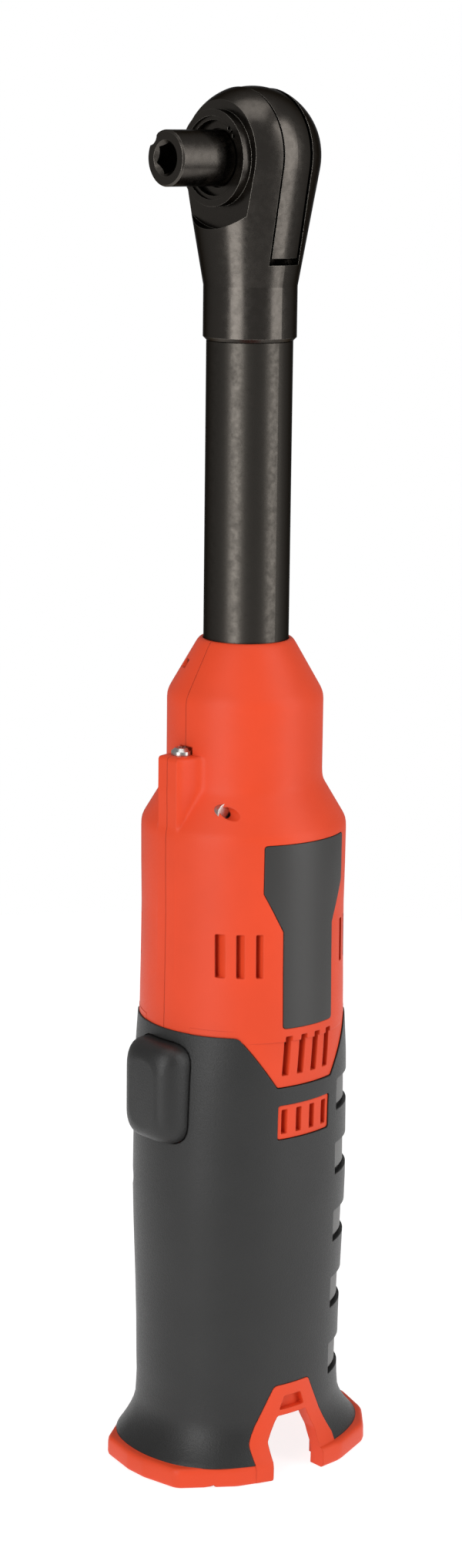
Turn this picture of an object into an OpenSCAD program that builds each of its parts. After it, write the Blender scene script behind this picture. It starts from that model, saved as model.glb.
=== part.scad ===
// Long-neck cordless ratchet, shown without its battery.
// Origin: centre of the base ring's flat underside. +Z runs up the tool axis to the head.
// -Y is the front, where the output and the trigger are. +X and -X are the panelled sides.

/* [Head] */
// Height of the output axis above the base
head_z = 316.3; // [305:0.1:325]
// Radius of the domed head
head_r = 16; // [15.8:0.1:17]
// Distance from the tool axis to the flat on the front of the head
head_front = 10; // [9.6:0.1:10.4]
// Distance from the tool axis to the flat on the back of the head
head_back = 11; // [10.8:0.1:11.4]
// Radius of the raised hub round the output
hub_r = 10.95; // [10.8:0.05:11.4]
// How far the hub stands proud of the front flat
hub_proud = 2.4; // [2.2:0.1:3]
// Radius of the collar under the head
collar_r = 11; // [10.8:0.1:11.6]
// Length of the collar
collar_len = 12.7; // [12:0.1:14]

/* [Output] */
// Radius of the output boss
boss_r = 6.35; // [6:0.05:6.6]
// Distance from the tool axis to the face of the boss
boss_reach = 26.2; // [24:0.1:28]
// Hex socket, across flats
hex_af = 6.4; // [6.35:0.01:6.5]
// Depth of the hex socket
hex_depth = 10; // [8:0.5:11]
// Direction of the notch in the rim of the boss
notch_angle = 137; // [0:1:360]

/* [Neck] */
// Outer radius of the neck tube
tube_r = 10.18; // [9.8:0.02:10.4]
// Bore radius of the neck tube
tube_bore_r = 8.2; // [8:0.05:8.4]
// Height where the neck leaves the housing
mouth_z = 204.5; // [200:0.5:210]

/* [Housing] */
// Radius of the upper housing, round the gear case
upper_r = 18.7; // [18.5:0.1:19.5]
// Radius of the lower housing, round the motor
lower_r = 24.7; // [24.5:0.1:25.5]
// Wall of the housing halves
wall = 2.4; // [2:0.1:2.6]
// Height where the grip begins
grip_top = 112.5; // [111.5:0.1:113.5]

/* [Handle] */
// Half width of the handle, side to side
handle_hx = 23.7; // [23.5:0.1:24.5]
// Half depth of the handle, front to back
handle_hy = 26.7; // [26.5:0.1:27.5]
// Thickness of the overmoulded grip
grip_t = 1.6; // [1.4:0.1:1.8]
// Half width of the base ring
base_hx = 27.8; // [27:0.1:28]
// Half depth of the base ring
base_hy = 33.4; // [33:0.1:34.5]
// How far the base ring sits behind the tool axis
base_back = 0.2; // [0:0.1:1]
// Height of the base ring's rim
base_h = 4.5; // [4:0.1:5]

/* [Trigger] */
// Travel of the trigger
trigger_travel = 4; // [3:0.1:4.2]
// Half width of the trigger pad
trigger_hx = 9; // [8.5:0.1:9.2]
// Distance from the tool axis to the face of the trigger
trigger_reach = 31.7; // [31:0.1:32]

/* [Gearbox] */
// Gear module
gear_mod = 0.45; // [0.44:0.01:0.45]
// Teeth on the motor pinion
sun_teeth = 12; // [12:6:12]
// Teeth on each planet gear
planet_teeth = 18; // [18:6:18]
// Number of planet gears
planet_count = 3; // [3:1:3]

/* [Hidden] */

$fn = 96;
hull_fn = 32;
bore_fn = 64;
eps = 0.01;
big = 200;

// Fits
run_gap = 0.05;      // radial clearance of a running fit
part_gap = 0.3;      // space between bodies that only pass each other
seam_gap = 0.02;     // half the gap between the housing halves

// Head
dome_z = head_z + 0.6;
collar_top_z = 287.3;
collar_z = collar_top_z - collar_len;
cone_top_z = dome_z - 2.68;
cone_top_r = head_r * cos(9.65);
slot_front = 4.3;    // the yoke slot runs from -slot_front to slot_back in Y
slot_back = 5.1;
slot_floor_z = 292.3;
spot_r = 16;
chamfer = 0.4;
collar_chamfer = 0.9;

// Output anvil and what holds it
anvil_front_y = -head_front + 0.4;
journal_r = 7.8;
carrier_r = 8.9;
rear_journal_r = 5;
hub_bore_r = 9.4;
hub_face_y = -head_front - hub_proud;
pawl_x = 5.6;
pawl_z = -3.4;
pawl_pin_r = 1.8;
cam_r = 2.4;
spring_y = 0.4;
spring_z = 1;
pocket_front = 2.6;
pocket_back = 3.4;
knob_r = 7.8;
knob_y = head_back + part_gap;
knob_t = 2;

// Yoke
yoke_gap = 0.7;       // between each face of the yoke and the head's slot
yoke_tip_r = 9.3;
yoke_root_r = 10.1;
yoke_teeth = 36;
yoke_end_z = 293.9;
fork_hx = 5.4;

// Crank
crank_r = 5;
crank_throw = 1.2;
crank_pin_r = 1.6;
bushing_r = 2.6;
crank_bottom_z = 277;
crank_top_z = 290.4;
crank_pin_top_z = 300.2;
bearing_r = 7.6;

// Neck and extension shaft
spigot_r = 9;
spigot_len = 8;
tube_bottom_z = 180;
shaft_r = 3.5;
shaft_bottom_z = 168;
shaft_top_z = 283;

// Housing profile heights
cone_end_z = 191.3;
cone_rim_r = 11.7;
step_top_z = 172.6;
step_end_z = 160.4;
rib_t = 2;

// Gear case and epicyclic set
case_r = upper_r - wall - part_gap;
case_waist_r = 14.6;
case_z = 151;
case_waist_z = 172;
case_top_z = 188;
sun_r = gear_mod * sun_teeth / 2;
planet_r = gear_mod * planet_teeth / 2;
ring_teeth = sun_teeth + 2 * planet_teeth;
centre_r = sun_r + planet_r;
ring_outer_r = 12.9;
gear_z = 156;
gear_h = 9;
pin_r = 1.2;
carrier_z = gear_z + gear_h + 0.6;
carrier_plate_r = 9.6;
carrier_hub_r = 5;

// Motor
can_r = 18.6;
can_z = 115;
can_top_z = 149;
motor_shaft_r = 1.5;
core_r = 13.4;
core_z = 121;
core_h = 17;
commutator_r = 4;
motor_shaft_z = 110.5;

// Handle and base
inner_hx = handle_hx - grip_t;
inner_hy = handle_hy - grip_t;
flare_z = 19;
flare_foot_z = 9;
cavity_hx = 18.6;
cavity_hy = 22.6;
cavity_top_z = 62;
mouth_r = 30.6;       // flared mouth of the battery bay, front and back
mouth_top_z = 14;
notch_y = -2;
notch_hy = 7.5;
notch_top_z = 16;
arch_hy = 13;
arch_top_z = 23;
recess_z = [93.6, 77.1, 59.6, 42.1, 24.6];
recess_h = 8;
recess_depth = 0.8;

// Trigger and switch
trigger_z = 97.3;
trigger_hz = 12.3;
trigger_back = 19.9;
trigger_flange_t = 1;
stem_r = 2.4;
stem_in = 4;          // length of the trigger's stem inside the switch
switch_front = 12.5;
switch_hz = 10;

// Light
light_angle = -30;
light_z = 198.6;
light_w = 3.2;
light_h = 1.9;

// Front ledge and screws
ledge_z = 178.5;
ledge_hx = 5;
ledge_reach = 24.3;
ledge_screw_y = -20;
screw_y = [-16.5, 16.5, -17, 17, 17];
screw_z = [166, 166, 71, 71, 101.5];
screw_head_r = 2.1;
ledge_head_r = 2.4;
ledge_seat_h = 1.9;
screw_shank_r = 1.1;

// ---------- shared shapes ----------

// Cylinder along Y, from y = from to y = to
module y_rod(r, from, to) {
    translate([0, from, 0]) rotate([-90, 0, 0]) cylinder(r = r, h = to - from, $fn = bore_fn);
}

// Extrusion along Y of a shape drawn in X and Z
module y_plate(from, to) {
    translate([0, to, 0]) rotate([90, 0, 0]) linear_extrude(height = to - from) children();
}

// Cylinder along X on a side: side is 1 or -1
module x_rod(r, from, to, side) {
    translate([side * (from + to) / 2, 0, 0]) rotate([0, 90, 0])
        cylinder(r = r, h = to - from, center = true, $fn = bore_fn);
}

// Box given by its lowest and highest corners
module span(low, high) {
    translate(low) cube(high - low);
}

// Oval outline of the handle: a circle front to back, flattened by two wide arcs at the sides
module oval(hx, hy) {
    side_r = 1.3 * hy;
    intersection() {
        circle(r = hy);
        translate([side_r - hx, 0]) circle(r = side_r);
        translate([hx - side_r, 0]) circle(r = side_r);
    }
}

// Helical compression spring along Z: a ring of wire_sides points at each of the helix's steps
module coil(coil_r, wire_r, length, turns) {
    wire_sides = 6;
    steps = 12 * turns;
    rise = length - 2 * wire_r;
    ring = [for (i = [0:steps], j = [0:wire_sides - 1])
        let (turn = 30 * i, around = 360 * j / wire_sides, r = coil_r + wire_r * cos(around))
            [r * cos(turn), r * sin(turn), wire_r + rise * i / steps + wire_r * sin(around)]];
    skin = [for (i = [0:steps - 1], j = [0:wire_sides - 1])
        let (k = (j + 1) % wire_sides, low = i * wire_sides, high = low + wire_sides)
            [low + j, high + j, high + k, low + k]];
    start = [for (j = [0:wire_sides - 1]) j];
    end = [for (j = [wire_sides - 1:-1:0]) steps * wire_sides + j];
    polyhedron(points = ring, faces = concat([start, end], skin));
}

// Spur gear outline: straight-sided teeth, thin enough for backlash
module gear_outline(teeth, add, ded, thick) {
    pitch = gear_mod * teeth / 2;
    step = 360 / teeth;
    polygon([for (i = [0:teeth - 1], p = [
        [pitch - ded, -0.5 * step], [pitch - ded, -0.36 * step * thick],
        [pitch + add, -0.13 * step * thick], [pitch + add, 0.13 * step * thick],
        [pitch - ded, 0.36 * step * thick]
    ]) p[0] * [cos(i * step + p[1]), sin(i * step + p[1])]]);
}

// ---------- head ----------

// Outer form of the head above the collar, drawn smaller by inset
module head_form(inset) {
    translate([0, 0, dome_z]) sphere(r = head_r - inset);
    translate([0, 0, collar_top_z])
        cylinder(r1 = collar_r - inset, r2 = cone_top_r - inset, h = cone_top_z - collar_top_z);
}

module head_housing() {
    color([0.16, 0.15, 0.14]) difference() {
        union() {
            difference() {
                head_form(0);
                // front spot face, then the flat on the back
                translate([0, 0, head_z]) y_rod(spot_r, -big, -head_front);
                translate([0, 0, dome_z - head_r]) span([-big, -big, head_r], [big, -head_front, big]);
                span([-big, head_back, slot_floor_z + 6], [big, big, 2 * big]);
            }
            translate([0, 0, head_z]) y_rod(hub_r, hub_face_y, -head_front + 1);
            translate([0, 0, collar_z + collar_chamfer])
                cylinder(r = collar_r, h = collar_len - collar_chamfer);
            translate([0, 0, collar_z])
                cylinder(r1 = collar_r - collar_chamfer, r2 = collar_r, h = collar_chamfer);
        }
        // yoke slot, open at both sides and over the top
        span([-big, -slot_front, slot_floor_z], [big, slot_back, 2 * big]);
        translate([0, 0, head_z]) {
            y_rod(journal_r + run_gap, -big, -slot_front + 1);
            y_rod(hub_bore_r, -big, anvil_front_y);
            y_rod(hub_bore_r + 0.6, hub_face_y + 0.5, hub_face_y + 1.5);
            y_rod(rear_journal_r + run_gap, slot_back - 1, big);
        }
        translate([0, 0, collar_z - 1]) cylinder(r = spigot_r + 0.02, h = spigot_len + 1);
        cylinder(r = bearing_r + 0.02, h = crank_top_z - 1.6);
        cylinder(r = crank_r + 1, h = slot_floor_z + 1);
    }
}

// ---------- output ----------

// Outline of a pawl round its own pivot: the arm points up
module pawl_outline() {
    circle(r = pawl_pin_r);
    polygon([[-1.1, 0], [1.1, 0], [2.9, 5.2], [2.2, 6.2], [-1.1, 6.2]]);
}

// Pocket that the pawl swings in
module pocket_outline() {
    circle(r = pawl_pin_r + run_gap);
    polygon([[-1.75, 0], [1.75, 0], [4.4, 4.6], [4.4, 7.6], [-1.75, 7.0]]);
}

module output_anvil() {
    color([0.2, 0.19, 0.17]) translate([0, 0, head_z]) difference() {
        union() {
            y_rod(boss_r, -boss_reach + chamfer, anvil_front_y + 1);
            translate([0, -boss_reach + chamfer, 0]) rotate([90, 0, 0])
                cylinder(r1 = boss_r, r2 = boss_r - chamfer, h = chamfer);
            y_rod(journal_r, anvil_front_y, -slot_front + 1);
            y_rod(carrier_r, -slot_front + part_gap, slot_back - part_gap);
            y_rod(rear_journal_r, 0, head_back - 0.2);
        }
        // hex socket with its lead-in
        translate([0, -boss_reach - 1, 0]) rotate([-90, 0, 0]) rotate([0, 0, -notch_angle])
            cylinder(r = hex_af / 2 / cos(30), h = hex_depth + 1, $fn = 6);
        translate([0, -boss_reach - eps, 0]) rotate([-90, 0, 0])
            cylinder(r1 = hex_af / 2 + 0.9, r2 = hex_af / 2, h = 0.9, $fn = bore_fn);
        // scoop in the rim
        rotate([0, -notch_angle, 0]) translate([boss_r + 1.2, 0, 0])
            y_rod(2.4, -boss_reach - 1, -boss_reach + 3);
        // pawl pockets
        for (side = [1, -1]) mirror([side < 0 ? 1 : 0, 0, 0]) translate([pawl_x, 0, pawl_z])
            y_plate(-pocket_front, pocket_back) pocket_outline();
        // bore for the reversing cam, and a spring hole through to each pocket
        y_rod(cam_r + run_gap, -pocket_front, head_back + 1);
        for (side = [1, -1]) translate([0, spring_y, spring_z])
            x_rod(0.75, cam_r - 0.5, pawl_x - 1.7, side);
    }
}

module thrust_washer() {
    color([0.35, 0.34, 0.32]) translate([0, 0, head_z]) difference() {
        y_rod(hub_bore_r - 0.1, anvil_front_y - 0.9, anvil_front_y - 0.1);
        y_rod(boss_r + part_gap, -big, big);
    }
}

module snap_ring() {
    ear_angle = 44;
    color([0.3, 0.29, 0.27]) translate([0, 0, head_z]) difference() {
        union() {
            difference() {
                y_rod(hub_bore_r + 0.55, hub_face_y + 0.55, hub_face_y + 1.45);
                y_rod(hub_bore_r - 0.9, -big, big);
            }
            for (side = [-1, 1]) rotate([0, side * 7 - ear_angle, 0]) translate([hub_bore_r - 0.8, 0, 0])
                y_rod(1.05, hub_face_y + 0.55, hub_face_y + 1.45);
        }
        rotate([0, -ear_angle, 0]) span([0, -big, -0.35], [big, big, 0.35]);
        for (side = [-1, 1]) rotate([0, side * 8 - ear_angle, 0]) translate([hub_bore_r - 0.9, 0, 0])
            y_rod(0.45, -big, big);
    }
}

module pawl(side) {
    color([0.5, 0.49, 0.47]) translate([0, 0, head_z]) mirror([side < 0 ? 1 : 0, 0, 0])
        translate([pawl_x, 0, pawl_z]) y_plate(-pocket_front + 0.2, pocket_back - 0.2) pawl_outline();
}

module pawl_springs() {
    spring_len = 1.3;
    color("silver") translate([0, 0, head_z + spring_z]) for (side = [1, -1])
        translate([side * (cam_r + 0.15), spring_y, 0]) rotate([0, side * 90, 0])
            difference() {
                cylinder(r = 0.7, h = spring_len, $fn = bore_fn);
                translate([0, 0, -1]) cylinder(r = 0.4, h = spring_len + 2, $fn = bore_fn);
            }
}

module reverse_knob() {
    grip_hx = 2.2;
    color([0.14, 0.14, 0.14]) translate([0, 0, head_z]) difference() {
        union() {
            y_rod(knob_r, knob_y, knob_y + knob_t);
            span([-grip_hx, knob_y, -knob_r + 1], [grip_hx, knob_y + knob_t + 1.6, knob_r - 1]);
            y_rod(cam_r, -pocket_front + 0.2, knob_y + 1);
        }
        // pocket for the detent spring and ball
        translate([0, 0, -4]) y_rod(1.05, -big, knob_y + 2.2);
    }
}

module detent_ball() {
    color("silver") translate([0, knob_y + 0.55, head_z - 4]) sphere(r = 0.8, $fn = bore_fn);
}

module detent_spring() {
    color("silver") translate([0, knob_y + 2.19, head_z - 4]) rotate([90, 0, 0])
        difference() {
            cylinder(r = 0.9, h = 0.8, $fn = bore_fn);
            translate([0, 0, -1]) cylinder(r = 0.6, h = 3, $fn = bore_fn);
        }
}

// ---------- yoke and crank ----------

module yoke() {
    step = 360 / yoke_teeth;
    color([0.24, 0.23, 0.21]) difference() {
        intersection() {
            head_form(0.35);
            span([-big, -slot_front + yoke_gap, yoke_end_z], [big, slot_back - yoke_gap, 2 * big]);
        }
        // ratchet teeth round the anvil
        translate([0, 0, head_z]) y_plate(-slot_front, slot_back) polygon([
            for (i = [0:yoke_teeth - 1], p = [[yoke_tip_r, 0], [yoke_root_r, 0.5 * step]])
                p[0] * [cos(i * step + p[1]), sin(i * step + p[1])]
        ]);
        // fork that takes the crank's drive bushing
        span([-fork_hx, -big, 0], [fork_hx, big, crank_pin_top_z + 1.1]);
    }
}

module crankshaft() {
    color([0.55, 0.54, 0.52]) difference() {
        union() {
            translate([0, 0, crank_bottom_z]) cylinder(r = crank_r, h = crank_top_z - crank_bottom_z);
            translate([crank_throw, 0, crank_top_z - 1])
                cylinder(r = crank_pin_r, h = crank_pin_top_z - crank_top_z + 1);
        }
        translate([0, 0, crank_bottom_z - 1])
            cylinder(r = shaft_r + 0.02, h = shaft_top_z - crank_bottom_z + 1.1);
    }
}

module drive_bushing() {
    bushing_h = 5;
    color([0.6, 0.58, 0.5]) translate([crank_throw, 0, crank_pin_top_z - bushing_h]) difference() {
        cylinder(r = bushing_r, h = bushing_h - 0.4);
        translate([0, 0, -1]) cylinder(r = crank_pin_r + run_gap, h = bushing_h + 2);
    }
}

module crank_bearing() {
    color("silver") translate([0, 0, crank_bottom_z + 0.5]) difference() {
        cylinder(r = bearing_r, h = 11);
        translate([0, 0, -1]) cylinder(r = crank_r + run_gap, h = 13);
    }
}

// ---------- neck ----------

module neck_tube() {
    color([0.17, 0.16, 0.15]) difference() {
        union() {
            translate([0, 0, tube_bottom_z]) cylinder(r = tube_r, h = collar_z - tube_bottom_z - 0.05);
            translate([0, 0, collar_z - 1]) cylinder(r = spigot_r, h = spigot_len + 0.9);
        }
        translate([0, 0, tube_bottom_z - 1]) cylinder(r = tube_bore_r, h = big);
    }
}

module extension_shaft() {
    color([0.5, 0.5, 0.5]) translate([0, 0, shaft_bottom_z])
        cylinder(r = shaft_r, h = shaft_top_z - shaft_bottom_z);
}

module tube_bushing() {
    bushing_z = 232;
    color([0.62, 0.5, 0.3]) translate([0, 0, bushing_z]) difference() {
        cylinder(r = tube_bore_r, h = 10);
        translate([0, 0, -1]) cylinder(r = shaft_r + run_gap, h = 12);
    }
}

// ---------- gearbox ----------

module gear_case() {
    color([0.45, 0.45, 0.46]) difference() {
        union() {
            translate([0, 0, case_z]) cylinder(r = case_waist_r, h = case_top_z - case_z);
            translate([0, 0, case_waist_z]) cylinder(r = case_r, h = case_top_z - case_waist_z);
            translate([0, 0, case_top_z - 1]) cylinder(r = tube_r + 2, h = 7);
        }
        translate([0, 0, case_z - 1]) cylinder(r = ring_outer_r, h = carrier_z + 4 - case_z + 1);
        translate([0, 0, case_z]) cylinder(r = 8.6, h = tube_bottom_z - case_z + 1);
        translate([0, 0, tube_bottom_z]) cylinder(r = tube_r + 0.02, h = big);
    }
}

module ring_gear() {
    color([0.6, 0.6, 0.6]) translate([0, 0, gear_z - 1]) difference() {
        cylinder(r = ring_outer_r, h = gear_h + 1.2);
        translate([0, 0, -1]) linear_extrude(height = gear_h + 4)
            rotate([0, 0, 180 / ring_teeth]) gear_outline(ring_teeth, 0.55, 0.3, 0.96);
    }
}

module planet_carrier() {
    color([0.58, 0.57, 0.55]) difference() {
        union() {
            translate([0, 0, carrier_z]) cylinder(r = carrier_plate_r, h = 3);
            translate([0, 0, carrier_z]) cylinder(r = carrier_hub_r, h = 10);
            for (i = [0:planet_count - 1]) rotate([0, 0, i * 360 / planet_count])
                translate([centre_r, 0, gear_z - 0.5]) cylinder(r = pin_r, h = gear_h + 2);
        }
        translate([0, 0, shaft_bottom_z - 0.1]) cylinder(r = shaft_r + 0.02, h = big);
        translate([0, 0, carrier_z - 1]) cylinder(r = 2, h = 3);
    }
}

// One planet gear on its pin: the count of teeth lets all three mesh at the same phase
module planet_gear(index) {
    turn = index * 360 / planet_count;
    color([0.7, 0.68, 0.6]) rotate([0, 0, turn]) translate([centre_r, 0, gear_z + 0.2]) difference() {
        linear_extrude(height = gear_h - 0.4) rotate([0, 0, 180 - 180 / planet_teeth])
            gear_outline(planet_teeth, 0.36, 0.5, 0.86);
        translate([0, 0, -1]) cylinder(r = pin_r + run_gap, h = gear_h + 2, $fn = bore_fn);
    }
}

module carrier_bushing() {
    color([0.62, 0.5, 0.3]) translate([0, 0, carrier_z + 4.2]) difference() {
        cylinder(r = 8.6, h = 5);
        translate([0, 0, -1]) cylinder(r = carrier_hub_r + run_gap, h = 7);
    }
}

// ---------- motor ----------

module motor_pinion() {
    color([0.72, 0.7, 0.65]) translate([0, 0, gear_z - 2]) difference() {
        linear_extrude(height = gear_h + 1.5) gear_outline(sun_teeth, 0.36, 0.5, 0.86);
        translate([0, 0, -1]) cylinder(r = motor_shaft_r, h = gear_h + 1, $fn = bore_fn);
    }
}

module motor_can() {
    color([0.5, 0.5, 0.52]) difference() {
        union() {
            translate([0, 0, can_z]) cylinder(r = can_r, h = can_top_z - can_z);
            translate([0, 0, can_top_z - 1]) cylinder(r = 6, h = 3);
        }
        translate([0, 0, can_z - 1]) cylinder(r = can_r - 1.5, h = can_top_z - can_z - 1);
        cylinder(r = 2.2, h = big, $fn = bore_fn);
        // cooling windows
        for (i = [0:3]) rotate([0, 0, 45 + 90 * i])
            span([0, -4, can_top_z - 9], [big, 4, can_top_z - 4]);
    }
}

module motor_magnets() {
    color([0.25, 0.25, 0.27]) translate([0, 0, core_z - 1]) difference() {
        cylinder(r = can_r - 1.52, h = core_h + 2);
        translate([0, 0, -1]) cylinder(r = core_r + 0.5, h = core_h + 4);
        span([-3, -big, -1], [3, big, core_h + 4]);
    }
}

module rotor() {
    poles = 5;
    color([0.66, 0.62, 0.55]) difference() {
        union() {
            translate([0, 0, motor_shaft_z])
                cylinder(r = motor_shaft_r, h = gear_z + gear_h - 2.2 - motor_shaft_z, $fn = bore_fn);
            translate([0, 0, core_z]) cylinder(r = core_r, h = core_h);
            translate([0, 0, core_z - 6]) cylinder(r = commutator_r, h = 6.5);
        }
        for (i = [0:poles - 1]) rotate([0, 0, i * 360 / poles]) {
            span([core_r - 2, -0.8, 0], [big, 0.8, big]);
            translate([8.4, 0, 0]) cylinder(r = 2.6, h = big);
        }
    }
}

module motor_fan() {
    blades = 9;
    fan_z = core_z + core_h + 1;
    color([0.2, 0.2, 0.22]) difference() {
        union() {
            translate([0, 0, fan_z]) cylinder(r = 15.6, h = 1.2);
            translate([0, 0, fan_z]) cylinder(r = 4, h = 5);
            for (i = [0:blades - 1]) rotate([0, 0, i * 360 / blades])
                span([3, -0.5, fan_z], [15.4, 0.5, fan_z + 5]);
        }
        cylinder(r = motor_shaft_r, h = big, $fn = bore_fn);
    }
}

module motor_end_bell() {
    color([0.15, 0.15, 0.16]) difference() {
        translate([0, 0, can_z - 5]) cylinder(r = can_r, h = 4.9);
        translate([0, 0, can_z - 3]) cylinder(r = can_r - 1.5, h = 5);
        cylinder(r = motor_shaft_r + run_gap, h = big, $fn = bore_fn);
    }
}

module motor_brushes() {
    color([0.3, 0.28, 0.27]) for (side = [1, -1])
        mirror([side < 0 ? 1 : 0, 0, 0]) span([4.3, -1.6, core_z - 5.2], [11, 1.6, core_z - 1.8]);
}

// ---------- housing ----------

// Outer form of both housing halves, drawn smaller by inset
module housing_form(inset) {
    rotate_extrude() polygon([
        [0, grip_top - 2 - inset], [lower_r + 0.6 - inset, grip_top - 2 - inset],
        [lower_r + 0.6 - inset, grip_top], [lower_r - inset, grip_top + 14],
        [lower_r - inset, step_end_z], [upper_r - inset, step_top_z],
        [upper_r - inset, cone_end_z], [cone_rim_r - inset, mouth_z], [0, mouth_z]
    ]);
    linear_extrude(height = grip_top - inset) oval(inner_hx - inset, inner_hy - inset);
}

// Rib on the front of the upper housing, which ends in the screw ledge
module front_rib() {
    edge_r = 3;
    linear_extrude(height = ledge_z) hull() for (side = [1, -1])
        translate([side * (ledge_hx - edge_r), edge_r - ledge_reach]) circle(r = edge_r, $fn = hull_fn);
}

// Slots cut straight in from one side, at the given heights and places along Y
module side_slots(places, low, high, width, side) {
    for (y = places) span(
        [side > 0 ? 12 : -40, y - width / 2, low], [side > 0 ? 40 : -12, y + width / 2, high]
    );
}

module housing_cavity() {
    difference() {
        intersection() {
            housing_form(wall);
            span([-big, -big, cavity_top_z + 5], [big, big, mouth_z]);
        }
        // ribs that hold the motor and the gear case
        for (z = [can_z + 3, can_top_z - 3.5, case_z + 8]) translate([0, 0, z]) difference() {
            cylinder(r = lower_r, h = rib_t);
            translate([0, 0, -1])
                cylinder(r = (z > case_z ? case_waist_r : can_r) + 0.02, h = rib_t + 2);
        }
    }
    // battery bay and the way in for its contacts
    translate([0, 0, -1]) intersection() {
        linear_extrude(height = cavity_top_z + 1) oval(cavity_hx + 1, cavity_hy);
        span([-cavity_hx, -big, -1], [cavity_hx, big, big]);
    }
    span([-12, -12, cavity_top_z - 1], [12, 12, cavity_top_z + 6]);
    bay_mouth();
    cylinder(r = tube_r + 0.02, h = 2 * big);
}

// Flare at the foot of the battery bay, between the two latch sides
module bay_mouth() {
    intersection() {
        cylinder(r1 = mouth_r, r2 = cavity_hy, h = mouth_top_z);
        span([-cavity_hx, -big, -1], [cavity_hx, big, big]);
    }
}

// Way through the housing and the grip for the trigger
module trigger_way() {
    gap = 0.4;
    span([-trigger_hx - gap, -big, trigger_z - trigger_hz - gap],
         [trigger_hx + gap, -10, trigger_z + trigger_hz + gap]);
}

// Slots cut in from one side, over a range of heights
module vents(side) {
    vent_y = [-6.3, -2.1, 2.1, 6.3];
    cooling_y = [-19.8, -16.6, -13, 13, 16.6, 19.8];
    side_slots(cooling_y, 127, 137.5, 1.45, side);
    side_slots(vent_y, 102.5, 112.3, 1.6, side);
    side_slots(vent_y, 88, 93.6, 1.4, side);
}

// Raised parts of the housing that fill the grip's side openings: the tongue and the vent window
module window_pads() {
    intersection() {
        linear_extrude(height = grip_top) oval(handle_hx - 0.1, handle_hy - 0.1);
        for (side = [1, -1]) rotate([0, 0, side > 0 ? 0 : 180]) grip_windows(-0.05);
    }
}

// Half of the clamshell: side is 1 for the right half, -1 for the left
module housing_half(side) {
    color([0.94, 0.33, 0.2]) difference() {
        union() {
            difference() {
                union() {
                    housing_form(0);
                    window_pads();
                    intersection() {
                        front_rib();
                        translate([0, 0, case_z]) cylinder(r = big, h = big);
                    }
                }
                housing_cavity();
            }
            // screw bosses
            for (i = [0:len(screw_y) - 1]) intersection() {
                translate([0, screw_y[i], screw_z[i]]) x_rod(3.4, -14, 14, 1);
                housing_form(1);
                difference() {
                    span([-big, -big, cavity_top_z + 5], [big, big, mouth_z]);
                    translate([0, 0, can_z - 6]) cylinder(r = can_r + 0.3, h = case_z - can_z + 8);
                    translate([0, 0, case_z]) cylinder(r = case_waist_r + 0.3, h = 60);
                }
            }
        }
        // the other half, and the seam
        span([side > 0 ? -big : -seam_gap, -big, -1], [side > 0 ? seam_gap : big, big, 2 * big]);
        vents(side);
        // seat of the side panel
        panel_form(side, 0.8, 0.1);
        // way through for the trigger
        trigger_way();
        // latch openings at the foot, clear of the base ring's own
        notch_prism(2.5);
        // screw ways
        for (i = [0:len(screw_y) - 1]) translate([0, screw_y[i], screw_z[i]]) {
            x_rod(screw_shank_r + 0.02, -14, 14, 1);
            x_rod(screw_head_r + 0.1, 10, big, i == 0 ? 1 : -1);
        }
        translate([0, ledge_screw_y, 0]) {
            translate([0, 0, ledge_z - 12]) cylinder(r = screw_shank_r + 0.02, h = 13);
            translate([0, 0, ledge_z]) cylinder(r = ledge_head_r + part_gap, h = ledge_seat_h);
        }
        light_pocket();
    }
}

// Outline of the side panel: wide at the top, narrow below, in Y and Z
module panel_outline(grow) {
    wide = 12.3 + grow;
    slim = 7.7 + grow;
    polygon([
        [-wide, 159 + grow], [wide, 159 + grow], [wide, 147.5], [slim, 138],
        [slim, 114.3 - grow], [-slim, 114.3 - grow], [-slim, 138], [-wide, 147.5]
    ]);
}

// Skin of the lower housing inside the panel's outline: depth below the surface, grow all round
module panel_form(side, depth, grow) {
    intersection() {
        rotate_extrude() polygon([
            [lower_r - depth, 100], [lower_r + 0.2, 100], [lower_r + 0.2, 170], [lower_r - depth, 170]
        ]);
        rotate([0, 0, side > 0 ? 0 : 180]) rotate([90, 0, 90]) linear_extrude(height = big)
            panel_outline(grow);
    }
}

module side_panel(side) {
    color([0.26, 0.25, 0.24]) panel_form(side, 0.7, 0);
}

// ---------- handle ----------

// Bell at the foot of the handle
module flare_form(grow) {
    top_inset = 0.5 - grow;
    foot_inset = 0.9 - grow;
    hull() {
        translate([0, 0, flare_z]) linear_extrude(height = 1, $fn = hull_fn)
            oval(handle_hx - top_inset, handle_hy - top_inset);
        translate([0, base_back, base_h]) linear_extrude(height = flare_foot_z - base_h, $fn = hull_fn)
            oval(base_hx - foot_inset, base_hy - foot_inset);
    }
}

// Finger grooves round the back of the grip
module grip_recesses() {
    for (z = recess_z) translate([0, 0, z - recess_h / 2]) linear_extrude(height = recess_h)
        difference() {
            translate([-40, 12]) square([80, 40]);
            oval(handle_hx - recess_depth, handle_hy - recess_depth);
        }
}

// Openings in the grip on the +X side, wider by grow: the tongue and the vent window below it
module grip_windows(grow) {
    foot_hy = 8.4 + grow;
    top_hy = 16.6 + grow;
    tongue_z = 99.5 - grow;
    rotate([90, 0, 90]) linear_extrude(height = big) polygon([
        [-top_hy, grip_top + 1], [-foot_hy, tongue_z], [foot_hy, tongue_z], [top_hy, grip_top + 1]
    ]);
    span([10, -8.2 - grow, 86.4 - grow], [big, 8.2 + grow, 95 + grow]);
}

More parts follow.
